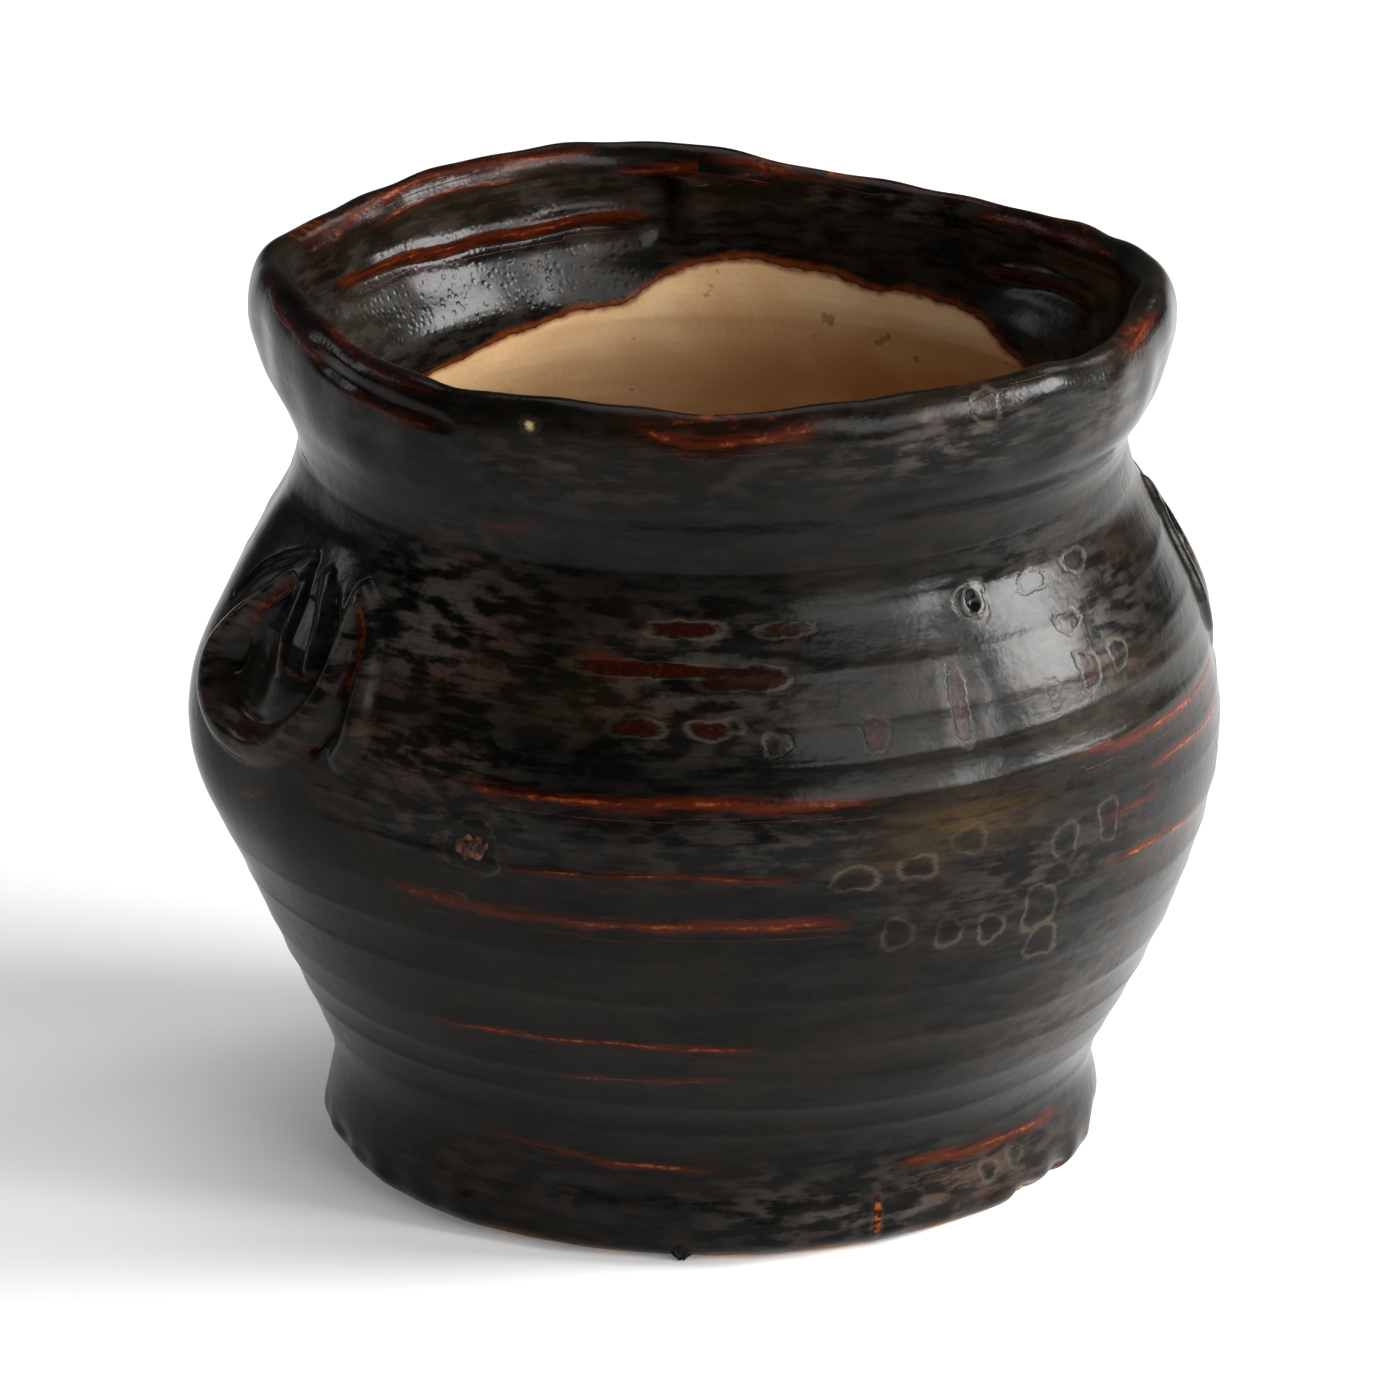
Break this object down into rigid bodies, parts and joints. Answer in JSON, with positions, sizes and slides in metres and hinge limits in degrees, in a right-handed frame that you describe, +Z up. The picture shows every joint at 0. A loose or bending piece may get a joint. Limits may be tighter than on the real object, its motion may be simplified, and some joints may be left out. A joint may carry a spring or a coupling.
{
  "type": "stoneware pot",
  "caption": "Small wheel-thrown stoneware pot with a dark glaze, a pressed wavy rim and two looped clay lugs on its shoulder.",
  "frame": {"origin": "centre of the foot's flat base, on the surface that the pot stands on", "axes": "+Z up along the axis that the pot was thrown on; -Y is the front, with one lug towards -X and the other towards +X"},
  "size_m": [0.1272, 0.1202, 0.1098],
  "materials": {
    "glazed_body": "glossy iron glaze outside, matt buff clay inside",
    "glazed_lug": "glossy iron glaze, broken to rust on the edges",
    "bare_clay": "rough fired clay",
    "glaze_run": "thick glossy glaze"
  },
  "bodies": {
    "root": {"pot_body": "glazed_body", "left_lug_pad": "glazed_lug", "left_lug_coil": "glazed_lug", "right_lug_pad": "glazed_lug", "right_lug_coil": "glazed_lug", "clay_crumb": "bare_clay", "glaze_drop": "glaze_run"}
  },
  "joints": []
}
